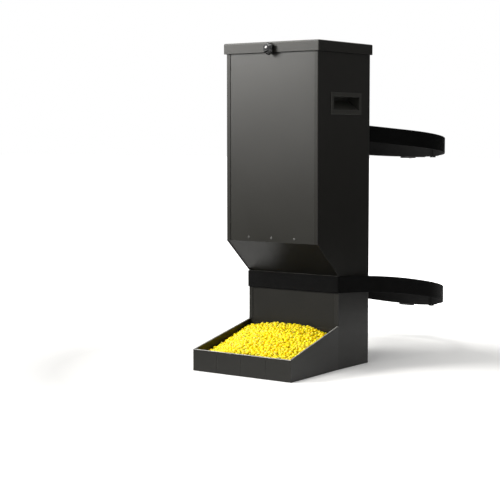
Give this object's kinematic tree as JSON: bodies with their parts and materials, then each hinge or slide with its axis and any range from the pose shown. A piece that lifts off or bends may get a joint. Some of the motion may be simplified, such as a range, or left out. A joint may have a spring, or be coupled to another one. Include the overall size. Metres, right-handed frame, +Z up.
{
  "type": "gravity game feeder",
  "caption": "Tree-strapped sheet-steel gravity feeder: tall bin with a hinged, latched lid over a chute and an open sloping-rim tray for loose feed.",
  "frame": {"origin": "centre of the flat base, midway between the side panels and midway from the back panel to the tray's front lip", "axes": "+Z up, -Y towards the tray's front lip, +Y towards the tree, +X to the right of someone facing the feeder"},
  "size_m": [0.384, 0.7833, 0.7775],
  "materials": {
    "black_powder_coat": "satin powder coat over steel sheet",
    "black_hardware": "semi-matt coated steel",
    "moulded_black": "satin coated pressing",
    "rivet_black": "coated rivet, slightly worn",
    "zinc_steel": "dull zinc plate",
    "buckle_metal": "black oxide, worn at its edges",
    "knob_black": "glossy moulded",
    "seal_foam": "closed-cell foam",
    "black_webbing": "woven polypropylene webbing",
    "maize": "dry yellow maize kernels, shown only in the visual model"
  },
  "bodies": {
    "feeder_body": {"back_panel": "black_powder_coat", "left_side_panel": "black_powder_coat", "right_side_panel": "black_powder_coat", "front_panel": "black_powder_coat", "slope_panel": "black_powder_coat", "neck_panel": "black_powder_coat", "tray_floor": "black_powder_coat", "tray_front": "black_powder_coat", "feed_ramp": "black_powder_coat", "body_hinge_leaf": "black_hardware", "body_hinge_rivets": "rivet_black", "hinge_pin": "zinc_steel", "latch_nut": "zinc_steel", "left_handle_cup": "moulded_black", "right_handle_cup": "moulded_black", "upper_bracket": "black_hardware", "lower_bracket": "black_hardware", "bracket_rivets": "rivet_black", "front_rivets": "rivet_black", "ramp_rivets": "rivet_black", "upper_strap": "black_webbing", "lower_strap": "black_webbing", "upper_strap_tail": "black_webbing", "lower_strap_tail": "black_webbing", "upper_buckle_frame": "buckle_metal", "lower_buckle_frame": "buckle_metal", "upper_buckle_pin": "zinc_steel", "lower_buckle_pin": "zinc_steel", "upper_buckle_spring": "zinc_steel", "lower_buckle_spring": "zinc_steel", "strap_keepers": "black_webbing"},
    "lid": {"lid": "black_powder_coat", "lid_seal": "seal_foam", "lid_hinge_leaf": "black_hardware", "lid_hinge_rivets": "rivet_black"},
    "latch_washer": {"latch_washer": "zinc_steel"},
    "latch_knob": {"latch_knob": "knob_black", "latch_stud": "zinc_steel"},
    "upper_cam": {"upper_buckle_cam": "buckle_metal"},
    "lower_cam": {"lower_buckle_cam": "buckle_metal"}
  },
  "joints": [
    {"name": "lid_hinge", "type": "hinge", "parent": "feeder_body", "child": "lid", "pos_m": [0, 0.182, 0.7525], "axis": [-1, 0, 0], "range_deg": [0, 90]},
    {"name": "latch_travel", "type": "slide", "parent": "feeder_body", "child": "latch_washer", "axis": [0, -1, 0], "range_m": [0, 0.003]},
    {"name": "latch_turn", "type": "hinge", "parent": "latch_washer", "child": "latch_knob", "pos_m": [0, -0.059, 0.7605], "axis": [0, -1, 0], "range_deg": [0, 1080]},
    {"name": "upper_buckle_lever", "type": "hinge", "parent": "feeder_body", "child": "upper_cam", "pos_m": [0, 0.604, 0.5212], "axis": [0, 0, 1], "range_deg": [0, 75], "stiffness_Nm_per_rad": 0.05, "springref_deg": -28.65},
    {"name": "lower_buckle_lever", "type": "hinge", "parent": "feeder_body", "child": "lower_cam", "pos_m": [0, 0.604, 0.1162], "axis": [0, 0, 1], "range_deg": [0, 75], "stiffness_Nm_per_rad": 0.05, "springref_deg": -28.65}
  ],
  "couplings": [
    {"joint": "latch_travel", "follows": "latch_turn", "m_per_rad": 0.00015905}
  ]
}
